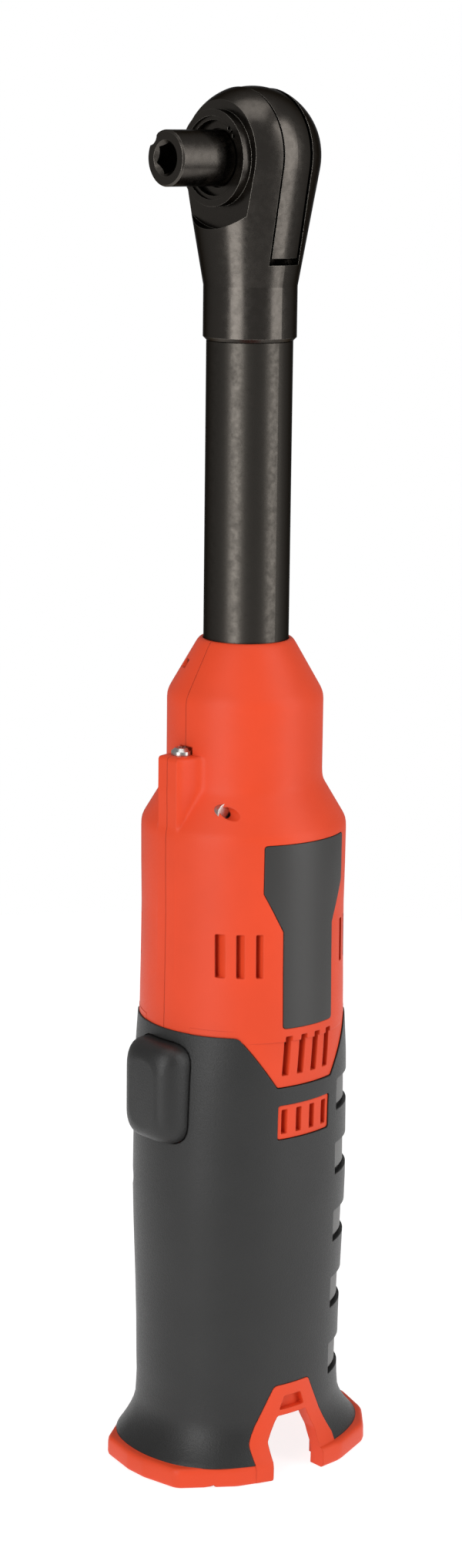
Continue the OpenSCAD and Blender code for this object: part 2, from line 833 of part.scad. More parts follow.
module grip_sleeve() {
    color([0.24, 0.24, 0.24]) difference() {
        union() {
            translate([0, 0, base_h]) linear_extrude(height = grip_top - base_h)
                oval(handle_hx, handle_hy);
            flare_form(0);
        }
        // the housing and the base ring's inner sleeve sit inside
        translate([0, 0, -1]) linear_extrude(height = big) oval(inner_hx + 0.02, inner_hy + 0.02);
        translate([0, 0, grip_top - 2.05]) cylinder(r = lower_r + 0.62, h = 20);
        grip_recesses();
        // tongue of the housing on each side, and the lower slots' window
        for (side = [1, -1]) rotate([0, 0, side > 0 ? 0 : 180]) grip_windows(0);
        // side arches of the base ring
        arch_prism(0.05);
        bay_mouth();
        // trigger opening
        trigger_way();
        for (i = [2:len(screw_y) - 1]) translate([0, screw_y[i], screw_z[i]])
            x_rod(screw_head_r + 0.3, 10, big, -1);
    }
}

// Side view of a latch arch, in Y and Z, run right through the handle
module arch_prism(grow) {
    top_hy = 5.2 + grow;
    foot_hy = arch_hy + grow;
    side_prism([
        [-foot_hy, -1], [-foot_hy, 8], [-top_hy, arch_top_z + grow],
        [top_hy, arch_top_z + grow], [foot_hy, 8], [foot_hy, -1]
    ]);
}

// Latch opening inside the arch, wider by grow
module notch_prism(grow) {
    top_hy = 4.8 + grow;
    foot_hy = notch_hy + grow;
    top_z = notch_top_z + grow;
    side_prism([
        [-foot_hy, -2], [-foot_hy, 9], [-top_hy, top_z], [top_hy, top_z], [foot_hy, 9], [foot_hy, -2]
    ]);
}

// Prism through both sides of a shape drawn in Y and Z, about the latches' middle
module side_prism(points) {
    translate([-big / 2, notch_y, 0]) rotate([90, 0, 90]) linear_extrude(height = big)
        polygon(points);
}

module base_ring() {
    proud = 0.3;
    color([0.94, 0.33, 0.2]) difference() {
        union() {
            translate([0, base_back, 0]) hull() {
                linear_extrude(height = 1.4, $fn = hull_fn) oval(base_hx, base_hy);
                linear_extrude(height = base_h - 0.05, $fn = hull_fn) oval(base_hx - 0.4, base_hy - 0.4);
            }
            intersection() {
                arch_prism(0);
                union() {
                    flare_form(proud);
                    linear_extrude(height = arch_top_z + 1) oval(handle_hx + proud, handle_hy + proud);
                }
            }
        }
        bay_mouth();
        translate([0, 0, -1]) linear_extrude(height = big) oval(inner_hx + 0.02, inner_hy + 0.02);
        // latch openings, and the small window over each
        notch_prism(0);
        span([-big, notch_y - 3.6, notch_top_z + 1.2], [big, notch_y + 3.6, notch_top_z + 4.2]);
    }
}

// ---------- controls ----------

module trigger() {
    edge_r = 5;
    flange_lip = 1.1;
    color([0.22, 0.22, 0.22]) {
        translate([0, -trigger_back, trigger_z]) rotate([90, 0, 0])
            linear_extrude(height = trigger_reach - trigger_back) union() {
                square([2 * trigger_hx, 2 * (trigger_hz - edge_r)], center = true);
                square([2 * (trigger_hx - edge_r), 2 * trigger_hz], center = true);
                for (x = [-1, 1], y = [-1, 1])
                    translate([x * (trigger_hx - edge_r), y * (trigger_hz - edge_r)]) circle(r = edge_r);
            }
        span([-trigger_hx - flange_lip, -trigger_back - 0.1, trigger_z - trigger_hz + flange_lip],
             [trigger_hx + flange_lip, trigger_flange_t - trigger_back, trigger_z + trigger_hz - flange_lip]);
        translate([0, 0, trigger_z]) y_rod(stem_r, -trigger_back, -switch_front + stem_in);
    }
}

module trigger_spring() {
    color("silver") translate([0, -switch_front - 0.1, trigger_z]) rotate([90, 0, 0])
        coil(3.4, 0.35, trigger_back - trigger_flange_t - switch_front - 0.2, 3);
}

module switch_body() {
    color([0.12, 0.12, 0.13]) difference() {
        span([-7, -switch_front, trigger_z - switch_hz], [7, -1.5, trigger_z + switch_hz]);
        translate([0, 0, trigger_z])
            y_rod(stem_r + run_gap, -big, -switch_front + stem_in + trigger_travel + 1);
    }
}

module circuit_board() {
    color([0.1, 0.35, 0.2]) span([-15, 2, 70], [15, 3.6, 100]);
    color([0.15, 0.15, 0.15]) span([-9, 3.5, 74], [9, 6.5, 82]);
    color("silver") span([-12, 3.5, 86], [12, 8.5, 97]);
}

// Block centred on the light's axis, at a radius from the tool axis
module light_block(radius, size) {
    rotate([0, 0, light_angle]) translate([0, -radius, light_z]) cube(size, center = true);
}

// Pocket in the left half for the light, which looks up along the neck
module light_pocket() {
    light_block(13.4, [light_w + 0.2, 4.8, light_h + 0.2]);
}

module light_lens() {
    color([0.85, 0.86, 0.9]) light_block(12.9, [light_w, 1.8, light_h]);
}

module light_board() {
    color([0.1, 0.35, 0.2]) light_block(11.5, [light_w, 0.8, light_h]);
}

module contact_block() {
    color([0.1, 0.1, 0.1]) difference() {
        span([-11.9, -11.9, cavity_top_z], [11.9, 11.9, cavity_top_z + 4.9]);
        for (x = [-6, 0, 6]) span([x - 0.5, -5, 0], [x + 0.5, 5, big]);
    }
}

module contact_blades() {
    color([0.8, 0.65, 0.3]) for (x = [-6, 0, 6])
        span([x - 0.48, -4.9, cavity_top_z - 9], [x + 0.48, 4.9, cavity_top_z + 7]);
}

module motor_leads() {
    color([0.6, 0.1, 0.1]) for (x = [-9.5, 9.5]) translate([x, 0, cavity_top_z + 5])
        cylinder(r = 0.9, h = can_z - 5 - cavity_top_z - 5);
}

// ---------- fasteners ----------

module ledge_screw() {
    color("silver") translate([0, ledge_screw_y, ledge_z]) difference() {
        union() {
            cylinder(r = ledge_head_r, h = 0.9);
            translate([0, 0, 0.9]) cylinder(r1 = ledge_head_r, r2 = 1.5, h = 0.8);
            translate([0, 0, -10]) cylinder(r = screw_shank_r, h = 10.5);
        }
        for (a = [0, 90]) rotate([0, 0, a]) span([-1.3, -0.25, 0.9], [1.3, 0.25, 3]);
    }
}

module housing_screws() {
    head_x = 10.1;
    color("silver") for (i = [0:len(screw_y) - 1]) translate([0, screw_y[i], screw_z[i]])
        mirror([i == 0 ? 0 : 1, 0, 0]) {
            x_rod(screw_head_r, head_x, head_x + 1.6, 1);
            x_rod(screw_shank_r, -9, head_x + 0.5, 1);
        }
}

head_housing();
output_anvil();
thrust_washer();
snap_ring();
yoke();
pawl(1);  // forward_pawl
pawl(-1);  // reverse_pawl
pawl_springs();
reverse_knob();
detent_ball();
detent_spring();
crankshaft();
drive_bushing();
crank_bearing();
neck_tube();
extension_shaft();
tube_bushing();
gear_case();
ring_gear();
planet_carrier();
planet_gear(0);  // planet_gear_a
planet_gear(1);  // planet_gear_b
planet_gear(2);  // planet_gear_c
carrier_bushing();
motor_pinion();
motor_can();
motor_magnets();
rotor();
motor_fan();
motor_end_bell();
motor_brushes();
housing_half(-1);  // left_housing
housing_half(1);  // right_housing
side_panel(-1);  // left_side_panel
side_panel(1);  // right_side_panel
grip_sleeve();
base_ring();
trigger();
trigger_spring();
switch_body();
circuit_board();
light_lens();
light_board();
contact_block();
contact_blades();
motor_leads();
ledge_screw();
housing_screws();
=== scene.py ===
"""Long-neck cordless ratchet, without its battery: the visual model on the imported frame.

Lengths in this script are millimetres, in the frame's axes: +Z up the tool axis, -Y the front.
They become metres where a mesh is made. Angles round the tool axis start at +X, in radians.
"""
import math

import bpy
from mathutils import Matrix, Vector


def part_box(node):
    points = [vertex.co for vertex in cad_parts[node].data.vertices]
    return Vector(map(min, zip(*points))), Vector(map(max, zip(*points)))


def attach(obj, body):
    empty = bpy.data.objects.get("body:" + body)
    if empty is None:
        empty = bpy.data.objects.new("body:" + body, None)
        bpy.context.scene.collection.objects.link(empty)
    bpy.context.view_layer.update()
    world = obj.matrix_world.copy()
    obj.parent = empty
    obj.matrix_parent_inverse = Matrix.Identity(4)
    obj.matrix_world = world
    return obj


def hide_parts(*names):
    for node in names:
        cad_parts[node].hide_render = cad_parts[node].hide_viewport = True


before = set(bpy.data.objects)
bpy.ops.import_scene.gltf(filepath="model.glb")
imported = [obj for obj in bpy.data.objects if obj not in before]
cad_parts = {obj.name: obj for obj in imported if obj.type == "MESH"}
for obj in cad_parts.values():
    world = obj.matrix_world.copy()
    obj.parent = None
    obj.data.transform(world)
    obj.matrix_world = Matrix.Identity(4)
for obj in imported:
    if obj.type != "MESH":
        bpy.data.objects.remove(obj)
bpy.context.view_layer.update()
MM = 0.001


def span_of(node):
    """A CAD node's lowest and highest corners, in mm."""
    low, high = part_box(node)
    return Vector(low) / MM, Vector(high) / MM


# ---------------------------------------------------------------- sizes from the frame

TUBE_R = span_of("neck_tube")[1].x
MOUTH_Z = span_of("right_housing")[1].z
GRIP_TOP = span_of("grip_sleeve")[1].z
BASE_LOW, BASE_HIGH = span_of("base_ring")
BASE_FRONT, BASE_REAR = BASE_LOW.y, BASE_HIGH.y
BASE_HX = BASE_HIGH.x
TRIGGER_LOW, TRIGGER_HIGH = span_of("trigger")
TRIGGER_Z = (TRIGGER_LOW.z + TRIGGER_HIGH.z) / 2
TRIGGER_HZ = (TRIGGER_HIGH.z - TRIGGER_LOW.z) / 2
LENS_LOW, LENS_HIGH = span_of("light_lens")
LENS = (LENS_LOW + LENS_HIGH) / 2

# ---------------------------------------------------------------- sizes of the mouldings

COLUMNS = 288  # points round each moulding
WALL = 2.4  # housing wall
SKIN = 1.6  # overmoulded grip
SEAM = 0.07  # half the line between the housing halves
LEDGE_Z = 178.5  # top of the front rib
LEDGE_SCREW_Y = -20.0
RIB_HX = 4.0
RIB_REACH = 24.3
RIB_CORNER = 5.0
RIB_TURN = 1.1  # rounding of the ledge's edge
BAY_HX = 18.6  # battery bay
BAY_HY = 22.6
BAY_TOP = 62.0
LATCH_Y = -2.0  # middle of the latch arches
ARCH_TOP = 23.0
RECESS_Z = (93.6, 77.1, 59.6, 42.1, 24.6)  # middles of the finger grooves
RECESS_H = 8.0
RECESS_Y = 12.0  # where they start, going back
INSERT_Z = 90.7  # middle of the orange insert in the grip
SLOT_Y = (13.0, 16.6, 19.8)  # motor cooling slots, each side of the panel
SLOT_Z = 132.3
VENT_Y = (-6.3, -2.1, 2.1, 6.3)
VENT_Z = (102.4, 112.3)  # foot and top of the leaning vents
VENT_HALF = 0.92
VENT_LEAN = 0.25
TRIGGER_HX = 9.0
TRIGGER_GAP = 0.25  # round the trigger, in the housing and the grip
PAD_DEPTH = 11.3  # from the trigger's face to its back
# Lighter colour painted along sharp metal edges: a painted highlight
EDGE_GLINT_PAINT = (0.24, 0.225, 0.2)


# ---------------------------------------------------------------- small maths


def smooth_max(a, b, k):
    """The larger of a and b, with a fillet of about k where they meet."""
    h = max(0.0, k - abs(a - b)) / k
    return max(a, b) + h * h * k / 4


def smooth_min(a, b, k):
    """The smaller of a and b, with a rounding of about k where they meet."""
    return -smooth_max(-a, -b, k)


def between(table, z):
    """Values at z from rows of (z, value, ...), in a straight line from row to row."""
    if z <= table[0][0]:
        return table[0][1:]
    for low, high in zip(table, table[1:]):
        if z <= high[0]:
            t = (z - low[0]) / (high[0] - low[0])
            return tuple(a + (b - a) * t for a, b in zip(low[1:], high[1:]))
    return table[-1][1:]


def ladder(points, step):
    """Heights from the first to the last point, with each point kept and no gap over step."""
    out = [points[0]]
    for a, b in zip(points, points[1:]):
        count = max(1, math.ceil((b - a) / step))
        out += [a + (b - a) * i / count for i in range(1, count + 1)]
    return out


def oval_radius(angle, hx, hy):
    """Radius of the handle's oval: a circle of hy, flattened at the sides by arcs of 1.3 hy."""
    side_r = 1.3 * hy
    c, s = abs(math.cos(angle)), math.sin(angle)
    offset = side_r - hx
    flat = -offset * c + math.sqrt(max(0.0, side_r**2 - (offset * s) ** 2))
    return smooth_min(hy, flat, 2.5)


# ---------------------------------------------------------------- mesh building


def new_object(name, verts, faces):
    """Mesh object from points in mm."""
    mesh = bpy.data.meshes.new(name)
    mesh.from_pydata([Vector(v) * MM for v in verts], [], faces)
    mesh.validate()
    obj = bpy.data.objects.new(name, mesh)
    bpy.context.scene.collection.objects.link(obj)
    return obj


def loft(name, rings):
    """Closed solid through rings of points, capped at both ends."""
    count = len(rings[0])
    verts = [p for ring in rings for p in ring]
    faces = []
    for i in range(len(rings) - 1):
        for j in range(count):
            k = (j + 1) % count
            faces.append((i * count + j, i * count + k, (i + 1) * count + k, (i + 1) * count + j))
    for ring, start, flip in ((rings[0], 0, True), (rings[-1], (len(rings) - 1) * count, False)):
        centre = sum((Vector(p) for p in ring), Vector()) / count
        verts.append(centre)
        hub = len(verts) - 1
        for j in range(count):
            k = (j + 1) % count
            a, b = start + j, start + k
            faces.append((b, a, hub) if flip else (a, b, hub))
    return new_object(name, verts, faces)


def round_ring(radius, z, y=0.0, columns=COLUMNS):
    """Ring of points at height z: radius is a number or a function of the angle."""
    out = []
    for i in range(columns):
        a = 2 * math.pi * i / columns
        r = radius(a) if callable(radius) else radius
        out.append((r * math.cos(a), y + r * math.sin(a), z))
    return out


def turned(name, profile, columns=128):
    """Solid of revolution about Z from (radius, z) points, lowest first."""
    return loft(name, [round_ring(r, z, columns=columns) for r, z in profile])


def prism(name, outline, axis, low, high):
    """Solid with an outline of 2-D points, run from low to high along axis X, Y or Z."""
    place = {
        "X": lambda u, v, w: (w, u, v),
        "Y": lambda u, v, w: (u, w, v),
        "Z": lambda u, v, w: (u, v, w),
    }[axis]
    rings = [[place(u, v, w) for u, v in outline] for w in (low, high)]
    area = sum(a[0] * b[1] - b[0] * a[1] for a, b in zip(outline, outline[1:] + outline[:1]))
    if (area < 0) != (axis == "Y"):
        rings.reverse()
    return loft(name, rings)


def rounded(points, radius, steps=5):
    """A closed outline with its corners rounded: radius is one number, or one for each point."""
    out = []
    count = len(points)
    for i, p in enumerate(points):
        r = radius if isinstance(radius, (int, float)) else radius[i]
        p = Vector(p)
        a = Vector(points[i - 1]) - p
        b = Vector(points[(i + 1) % count]) - p
        if r <= 0:
            out.append(tuple(p))
            continue
        half = a.angle(b) / 2
        reach = min(r / math.tan(half), 0.49 * a.length, 0.49 * b.length)
        start, end = p + a.normalized() * reach, p + b.normalized() * reach
        for s in range(steps + 1):
            t = s / steps
            out.append(tuple(start * (1 - t) ** 2 + p * 2 * t * (1 - t) + end * t**2))
    return out


def rectangle(u, v, hu, hv, radius=0.0):
    """Outline about (u, v) with half sizes hu and hv."""
    box = [(u - hu, v - hv), (u + hu, v - hv), (u + hu, v + hv), (u - hu, v + hv)]
    return rounded(box, radius) if radius else box


def disc(u, v, radius, count=32):
    turns = [2 * math.pi * i / count for i in range(count)]
    return [(u + radius * math.cos(a), v + radius * math.sin(a)) for a in turns]


def join(name, parts):
    """One object from several separate solids."""
    verts, faces = [], []
    for part in parts:
        start = len(verts)
        verts += [v.co / MM for v in part.data.vertices]
        faces += [tuple(start + i for i in p.vertices) for p in part.data.polygons]
        discard(part)
    return new_object(name, verts, faces)


def discard(obj):
    mesh = obj.data
    bpy.data.objects.remove(obj)
    bpy.data.meshes.remove(mesh)


def boolean(target, tool, operation="DIFFERENCE", keep_tool=False):
    """Cuts, joins or intersects target with tool, which is thrown away unless kept."""
    modifier = target.modifiers.new("boolean", "BOOLEAN")
    modifier.operation = operation
    modifier.solver = "MANIFOLD"
    modifier.object = tool
    bpy.context.view_layer.update()
    graph = bpy.context.evaluated_depsgraph_get()
    mesh = bpy.data.meshes.new_from_object(target.evaluated_get(graph))
    if not mesh.polygons:
        raise RuntimeError(f"{target.name}: boolean with {tool.name} left nothing")
    target.modifiers.clear()
    old = target.data
    target.data = mesh
    bpy.data.meshes.remove(old)
    if not keep_tool:
        discard(tool)
    return target


def copy_of(obj, name):
    made = bpy.data.objects.new(name, obj.data.copy())
    bpy.context.scene.collection.objects.link(made)
    return made


def finish_piece(obj, name, body, material, nodes, sharp_deg=34):
    """Names, shades, paints and fixes a finished piece to its body."""
    obj.name = name
    obj.data.name = name
    obj.data.materials.clear()
    obj.data.materials.append(material)
    obj.data.shade_smooth()
    obj.data.set_sharp_from_angle(angle=math.radians(sharp_deg))
    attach(obj, body)
    if nodes:
        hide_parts(*nodes)
    return obj


# ---------------------------------------------------------------- materials


def shader(name, colour, roughness, metallic=0.0, sockets=None):
    """A material with one Principled shader. Returns it, its node tree and the shader."""
    made = bpy.data.materials.new(name)
    made.use_nodes = True
    tree = made.node_tree
    bsdf = tree.nodes["Principled BSDF"]
    bsdf.inputs["Base Color"].default_value = (*colour, 1)
    bsdf.inputs["Roughness"].default_value = roughness
    bsdf.inputs["Metallic"].default_value = metallic
    for key, value in (sockets or {}).items():
        bsdf.inputs[key].default_value = value
    return made, tree, bsdf


def noise(tree, per_mm, stretch=(1, 1, 1), detail=4.0, roughness=0.6):
    """Noise in object space, per_mm features to the millimetre; stretch scales each axis."""
    place = tree.nodes.new("ShaderNodeTexCoord")
    scale = tree.nodes.new("ShaderNodeVectorMath")
    scale.operation = "MULTIPLY"
    scale.inputs[1].default_value = [s * per_mm / MM for s in stretch]
    texture = tree.nodes.new("ShaderNodeTexNoise")
    texture.inputs["Scale"].default_value = 1.0
    texture.inputs["Detail"].default_value = detail
    texture.inputs["Roughness"].default_value = roughness
    tree.links.new(place.outputs["Object"], scale.inputs[0])
    tree.links.new(scale.outputs["Vector"], texture.inputs["Vector"])
    return texture.outputs["Fac"]


def remap(tree, value, low, high, to_low, to_high):
    """Value from low to high, mapped to to_low to to_high."""
    node = tree.nodes.new("ShaderNodeMapRange")
    ends = {"From Min": low, "From Max": high, "To Min": to_low, "To Max": to_high}
    for socket, number in ends.items():
        node.inputs[socket].default_value = number
    tree.links.new(value, node.inputs["Value"])
    return node.outputs["Result"]


def blend_colours(tree, factor, first, second):
    node = tree.nodes.new("ShaderNodeMix")
    node.data_type = "RGBA"
    node.inputs["A"].default_value = (*first, 1)
    node.inputs["B"].default_value = (*second, 1)
    tree.links.new(factor, node.inputs["Factor"])
    return node.outputs["Result"]


def surface(tree, bsdf, height, depth_mm, edge_mm):
    """Bump of that depth, over edges softened to edge_mm. Returns the softened normal."""
    soft = tree.nodes.new("ShaderNodeBevel")
    soft.samples = 6
    soft.inputs["Radius"].default_value = edge_mm * MM
    bump = tree.nodes.new("ShaderNodeBump")
    bump.inputs["Distance"].default_value = depth_mm * MM
    bump.inputs["Strength"].default_value = 1.0
    tree.links.new(height, bump.inputs["Height"])
    tree.links.new(soft.outputs["Normal"], bump.inputs["Normal"])
    tree.links.new(bump.outputs["Normal"], bsdf.inputs["Normal"])
    return soft.outputs["Normal"]


def painted_edge_glint(tree, soft_normal):
    """Mask of the painted edge highlight: 1 on a sharp edge, 0 away from it, from how far the softened normal
    leans from the true one.
    """
    true_normal = tree.nodes.new("ShaderNodeNewGeometry").outputs["Normal"]
    dot = tree.nodes.new("ShaderNodeVectorMath")
    dot.operation = "DOT_PRODUCT"
    tree.links.new(soft_normal, dot.inputs[0])
    tree.links.new(true_normal, dot.inputs[1])
    return remap(tree, dot.outputs["Value"], 0.985, 0.9, 0, 1)


def moulded(name, colour, shade, roughness, grain_per_mm, grain_depth, edge=0.25, sockets=None):
    """Moulded plastic or rubber: spark grain, and a faint wander of colour and gloss."""
    made, tree, bsdf = shader(name, colour, roughness, sockets=sockets)
    wander = noise(tree, 0.05, detail=3)
    second = tuple(c * shade for c in colour)
    fine = noise(tree, grain_per_mm, detail=3, roughness=0.7)
    tree.links.new(
        blend_colours(tree, remap(tree, wander, 0.35, 0.65, 0, 1), colour, second),
        bsdf.inputs["Base Color"],
    )
    tree.links.new(
        remap(tree, fine, 0.3, 0.7, roughness - 0.07, roughness + 0.07), bsdf.inputs["Roughness"]
    )
    surface(tree, bsdf, fine, grain_depth, edge)
    return made


def machined(
    name, colour, shade, roughness,
    stretch=(1, 1, 6), line_depth=0.004, edge=0.2, glint=False, sockets=None,
):
    """Turned or ground metal: tool lines, mottled colour and gloss; if glint, sharp edges are painted a
    lighter colour as a painted highlight.
    """
    made, tree, bsdf = shader(name, colour, roughness, 1.0, sockets)
    lines = noise(tree, 1.2, stretch=stretch, detail=5)
    mottle = noise(tree, 0.6, detail=5, roughness=0.65)
    second = tuple(c * shade for c in colour)
    base = blend_colours(tree, remap(tree, mottle, 0.35, 0.7, 0, 1), colour, second)
    tree.links.new(
        remap(tree, mottle, 0.3, 0.7, roughness - 0.06, roughness + 0.08), bsdf.inputs["Roughness"]
    )
    soft_normal = surface(tree, bsdf, lines, line_depth, edge)
    if glint:
        # Painted highlight: sharp edges blended towards a lighter colour
        glinted_base = blend_colours(tree, painted_edge_glint(tree, soft_normal), colour, EDGE_GLINT_PAINT)
        tree.links.new(base, glinted_base.node.inputs["A"])
        base = glinted_base
    tree.links.new(base, bsdf.inputs["Base Color"])
    return made


ORANGE = moulded(
    "orange_plastic", (0.7, 0.06, 0.017), 0.94, 0.46, 2.2, 0.012,
    edge=0.35, sockets={"Specular IOR Level": 0.25},
)
GRIP = moulded(
    "charcoal_grip", (0.0145, 0.0145, 0.0142), 0.85, 0.42, 2.4, 0.07,
    edge=0.4, sockets={"Specular IOR Level": 0.42},
)
# Lighter grey for the sunk floors of the finger grooves: painted light, as if the floors catch the light
GROOVE_FLOOR_LIGHT = moulded("groove_floor_painted_light", (0.12, 0.118, 0.115), 0.9, 0.5, 2.4, 0.03)
PANEL = moulded("panel_grey", (0.024, 0.023, 0.0215), 0.92, 0.45, 3.0, 0.01, edge=0.25)
DARK_PLASTIC = moulded("dark_plastic", (0.022, 0.022, 0.023), 0.8, 0.5, 2.0, 0.01)
DULL_RIM = {"Specular Tint": (0.3, 0.3, 0.3, 1)}
# glint=True gives this metal a painted highlight along its sharp edges
BLACK_OXIDE = machined(
    "black_oxide", (0.08, 0.072, 0.064), 0.87, 0.25, edge=0.12, glint=True, sockets=DULL_RIM
)
TUBE_STEEL = machined(
    "tube_black", (0.075, 0.068, 0.06), 0.7, 0.34, line_depth=0.006, sockets=DULL_RIM
)
STEEL = machined("ground_steel", (0.55, 0.54, 0.52), 0.85, 0.28, line_depth=0.002)
BRONZE = machined("sintered_bronze", (0.52, 0.36, 0.17), 0.75, 0.45, stretch=(1, 1, 1))
ALLOY = machined("cast_alloy", (0.5, 0.5, 0.51), 0.85, 0.5, stretch=(1, 1, 1), line_depth=0.01)
MOTOR_STEEL = machined("zinc_plate", (0.36, 0.35, 0.34), 0.8, 0.38)
MAGNET = moulded("magnet_grey", (0.06, 0.06, 0.065), 0.7, 0.7, 1.5, 0.01)
BOARD = moulded("board_green", (0.012, 0.1, 0.035), 0.85, 0.35, 1.0, 0.002)
CONTACT = machined("contact_brass", (0.75, 0.55, 0.25), 0.85, 0.3)
LEAD = moulded("lead_red", (0.4, 0.02, 0.015), 0.85, 0.45, 1.0, 0.002)
LENS_CLEAR, _, _ = shader(
    "clear_lens", (0.12, 0.125, 0.13), 0.12, sockets={"Transmission Weight": 0.85, "IOR": 1.49}
)

NODE_MATERIALS = {
    BLACK_OXIDE: ("head_housing", "output_anvil", "snap_ring", "yoke", "thrust_washer"),
    TUBE_STEEL: ("neck_tube",),
    STEEL: (
        "forward_pawl", "reverse_pawl", "pawl_springs", "detent_ball",
        "detent_spring", "crankshaft", "crank_bearing", "extension_shaft", "ring_gear",
        "planet_carrier", "planet_gear_a", "planet_gear_b", "planet_gear_c", "motor_pinion",
        "rotor", "trigger_spring", "ledge_screw", "housing_screws",
    ),
    BRONZE: ("drive_bushing", "tube_bushing", "carrier_bushing"),
    ALLOY: ("gear_case",),
    MOTOR_STEEL: ("motor_can",),
    MAGNET: ("motor_magnets", "motor_brushes"),
    DARK_PLASTIC: ("reverse_knob", "motor_fan", "motor_end_bell", "switch_body", "contact_block"),
    BOARD: ("circuit_board", "light_board"),
    CONTACT: ("contact_blades",),
    LEAD: ("motor_leads",),
    LENS_CLEAR: ("light_lens",),
}
for paint, names in NODE_MATERIALS.items():
    for node_name in names:
        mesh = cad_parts[node_name].data
        mesh.materials.clear()
        mesh.materials.append(paint)


# ---------------------------------------------------------------- handle form

# Height, half width and half depth of the handle, and how far its middle sits back
HANDLE_ROWS = [
    (0.0, 26.3, 31.9, 0.2), (4.0, 26.4, 31.8, 0.2), (5.0, 26.2, 31.3, 0.2), (6.0, 25.65, 30.4, 0.2),
    (7.5, 24.9, 29.1, 0.2), (9.5, 24.05, 27.7, 0.15), (11.5, 23.4, 26.65, 0.1), (13.7, 22.95, 25.95, 0.05),
    (17.0, 22.8, 25.7, 0.0), (20.0, 22.7, 25.6, 0.0), (24.0, 22.75, 25.7, 0.0), (34.0, 22.85, 25.8, 0.0),
    (46.0, 23.15, 26.1, 0.0), (60.0, 23.55, 26.6, 0.0), (70.0, 23.8, 26.8, 0.0), (82.0, 23.7, 26.7, 0.0),
    (92.0, 23.85, 26.5, 0.0), (102.0, 24.35, 26.1, 0.0), (113.0, 25.2, 25.2, 0.0), (116.0, 25.25, 25.25, 0.0),
]


def handle_solid(name, inset, low, high, step=2.0):
    """The handle's outer form between two heights, drawn smaller by inset."""
    marks = [z for z, *_ in HANDLE_ROWS if low < z < high]
    rings = []
    for z in ladder([low, *marks, high], step):
        hx, hy, back = between(HANDLE_ROWS, z)
        rings.append(round_ring(lambda a: oval_radius(a, hx - inset, hy - inset), z, y=back))
    return loft(name, rings)


# ---------------------------------------------------------------- housing

# Height and radius of the housing
HOUSING_ROWS = [
    (GRIP_TOP - 1.5, 24.86), (GRIP_TOP, 24.86), (116.0, 24.8), (120.0, 24.75), (128.0, 24.6), (140.0, 24.5),
    (150.0, 24.65), (158.6, 24.7), (159.8, 24.66), (160.7, 24.5), (161.4, 24.22), (162.0, 23.9),
    (169.4, 19.5), (170.1, 19.15), (170.9, 18.9), (171.8, 18.76), (173.2, 18.7), (190.0, 18.7),
    (191.0, 18.62), (191.8, 18.4), (192.6, 18.06), (193.4, 17.62), (203.2, 12.0), (203.9, 11.55),
    (204.3, 11.2), (MOUTH_Z, 10.9),
]


def rib_radius(angle, shrink):
    """Distance from the axis to the front rib's face in that direction, or 0 behind it."""
    s = -math.sin(angle)
    c = abs(math.cos(angle))
    if s < 0.3:
        return 0.0
    front = (RIB_REACH - shrink) / s
    side = (RIB_HX - shrink) / max(c, 1e-6)
    return smooth_min(front, side, RIB_CORNER)


def housing_radius(z, rib_shrink):
    """Function from angle to radius at z; with rib_shrink None there is no rib."""
    radius = between(HOUSING_ROWS, z)[0]
    if rib_shrink is None:
        return lambda a: radius
    fillet = 7.0 * min(1.0, max(0.05, (23.6 - radius) / 4.5))
    return lambda a: smooth_max(radius, rib_radius(a, rib_shrink), fillet)


def housing_levels():
    """(height, how far the rib's edge is rounded off there, or None above the ledge)."""
    levels = ladder([z for z, _ in HOUSING_ROWS], 1.6)
    low = [(z, 0.0) for z in levels if z < LEDGE_Z - RIB_TURN]
    high = [(z, None) for z in levels if z > LEDGE_Z]
    turn = []
    for i in range(7):
        z = LEDGE_Z - RIB_TURN * math.cos(math.pi / 2 * i / 6)
        up = (z - LEDGE_Z + RIB_TURN) / RIB_TURN
        turn.append((z, RIB_TURN * (1 - math.sqrt(max(0.0, 1 - up**2)))))
    return low + turn + [(LEDGE_Z + 0.001, None)] + high


def housing_outer():
    return loft("housing_outer", [round_ring(housing_radius(z, e), z) for z, e in housing_levels()])


def housing_inner():
    rows = [(z, r - WALL) for z, r in HOUSING_ROWS if z > GRIP_TOP and r - WALL > TUBE_R + 0.15]
    profile = [(rows[0][1], GRIP_TOP - 3)] + [(r, z) for z, r in rows]
    profile += [(TUBE_R + 0.12, rows[-1][0] + 0.5), (TUBE_R + 0.12, MOUTH_Z + 5)]
    return turned("housing_inner", profile)


def tongue_outline(grow):
    """Orange tongue on each side, in Y and Z, which runs down over the grip."""
    return rounded(
        [
            (-26, GRIP_TOP + 3), (-26, GRIP_TOP - grow), (-17.2 - grow, GRIP_TOP - grow),
            (-8.6 - grow, 99.5 - grow), (8.6 + grow, 99.5 - grow),
            (17.2 + grow, GRIP_TOP - grow), (26, GRIP_TOP - grow), (26, GRIP_TOP + 3),
        ],
        [0, 0, 1.2, 0.8, 0.8, 1.2, 0, 0],
    )


def insert_outline(grow):
    return rectangle(0, INSERT_Z, 8.2 + grow, 4.3 + grow, 0.7)


def arch_outline(grow):
    foot, top = 12.3 + grow, 5.2 + grow
    points = [(-foot, -2), (-foot - 0.2, 9.5), (-top, ARCH_TOP + grow), (top, ARCH_TOP + grow),
              (foot + 0.2, 7.0), (foot, -2)]
    return [(LATCH_Y + y, z) for y, z in rounded(points, [0, 4.0, 1.6, 1.2, 1.5, 0], steps=7)]


